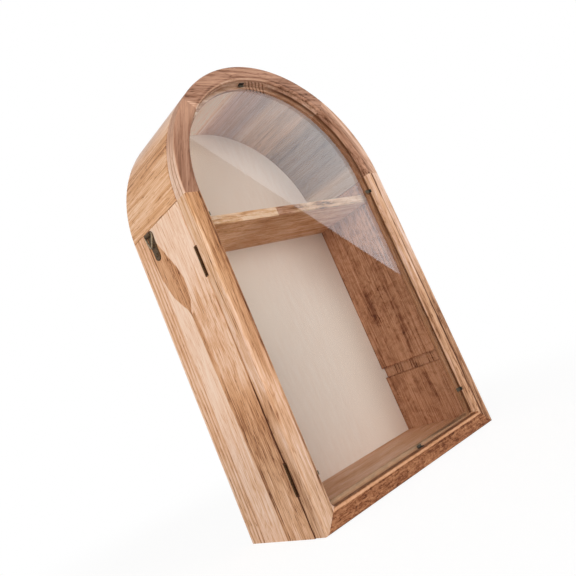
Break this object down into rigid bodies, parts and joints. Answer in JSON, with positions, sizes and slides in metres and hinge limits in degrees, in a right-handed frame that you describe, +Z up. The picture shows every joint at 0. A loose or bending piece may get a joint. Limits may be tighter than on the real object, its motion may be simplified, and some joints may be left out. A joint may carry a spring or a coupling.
{
  "type": "wall or shelf display case",
  "caption": "Shallow arched wooden display case with a shelf, spare shelf grooves and a glazed door hinged on the left, with strap hangers on its sides.",
  "frame": {"origin": "on the base plane, in the middle of the width and of the overall depth with the door shut", "axes": "+X to the right as seen from the front, +Y from the door towards the back panel, +Z up"},
  "size_m": [0.259, 0.0962, 0.4],
  "materials": {
    "case_wood": "torched and oiled",
    "arch_wood": "torched and oiled",
    "frame_wood": "torched and oiled",
    "shelf_wood": "torched and oiled",
    "back_panel_wood": "plain sanded sheet",
    "bronze": "antique bronze",
    "dark_steel": "blackened",
    "bright_steel": "zinc plated",
    "pane": "clear"
  },
  "bodies": {
    "case": {"left_side_panel": "case_wood", "right_side_panel": "case_wood", "bottom_board": "case_wood", "arch_top": "arch_wood", "shelf": "shelf_wood", "back_panel": "back_panel_wood", "back_panel_brads": "bright_steel", "upper_hinge_case_leaf": "bronze", "lower_hinge_case_leaf": "bronze", "upper_hinge_pin": "bronze", "lower_hinge_pin": "bronze", "hinge_case_screws": "bronze", "left_hanger_strap": "bronze", "right_hanger_strap": "bronze", "left_hanger_screws": "bronze", "right_hanger_screws": "bronze", "catch_magnet": "bright_steel"},
    "door": {"door_left_stile": "frame_wood", "door_right_stile": "frame_wood", "door_bottom_rail": "frame_wood", "door_arch_left": "frame_wood", "door_arch_top": "frame_wood", "door_arch_right": "frame_wood", "glass_pane": "pane", "glass_clips": "dark_steel", "glass_clip_nails": "dark_steel", "upper_hinge_door_leaf": "bronze", "lower_hinge_door_leaf": "bronze", "hinge_door_screws": "bronze", "catch_plate": "bright_steel"},
    "left_ring": {"left_hanger_ring": "bronze"},
    "right_ring": {"right_hanger_ring": "bronze"}
  },
  "joints": [
    {"name": "door_hinge", "type": "hinge", "parent": "case", "child": "door", "pos_m": [-0.1254, -0.03425, 0.13525], "axis": [0, 0, -1], "range_deg": [0, 180]},
    {"name": "left_ring_swing", "type": "hinge", "parent": "case", "child": "left_ring", "pos_m": [-0.12703, 0.01845, 0.274], "axis": [0, 1, 0], "range_deg": [0, 150]},
    {"name": "right_ring_swing", "type": "hinge", "parent": "case", "child": "right_ring", "pos_m": [0.12703, 0.01845, 0.274], "axis": [0, -1, 0], "range_deg": [0, 150]}
  ]
}
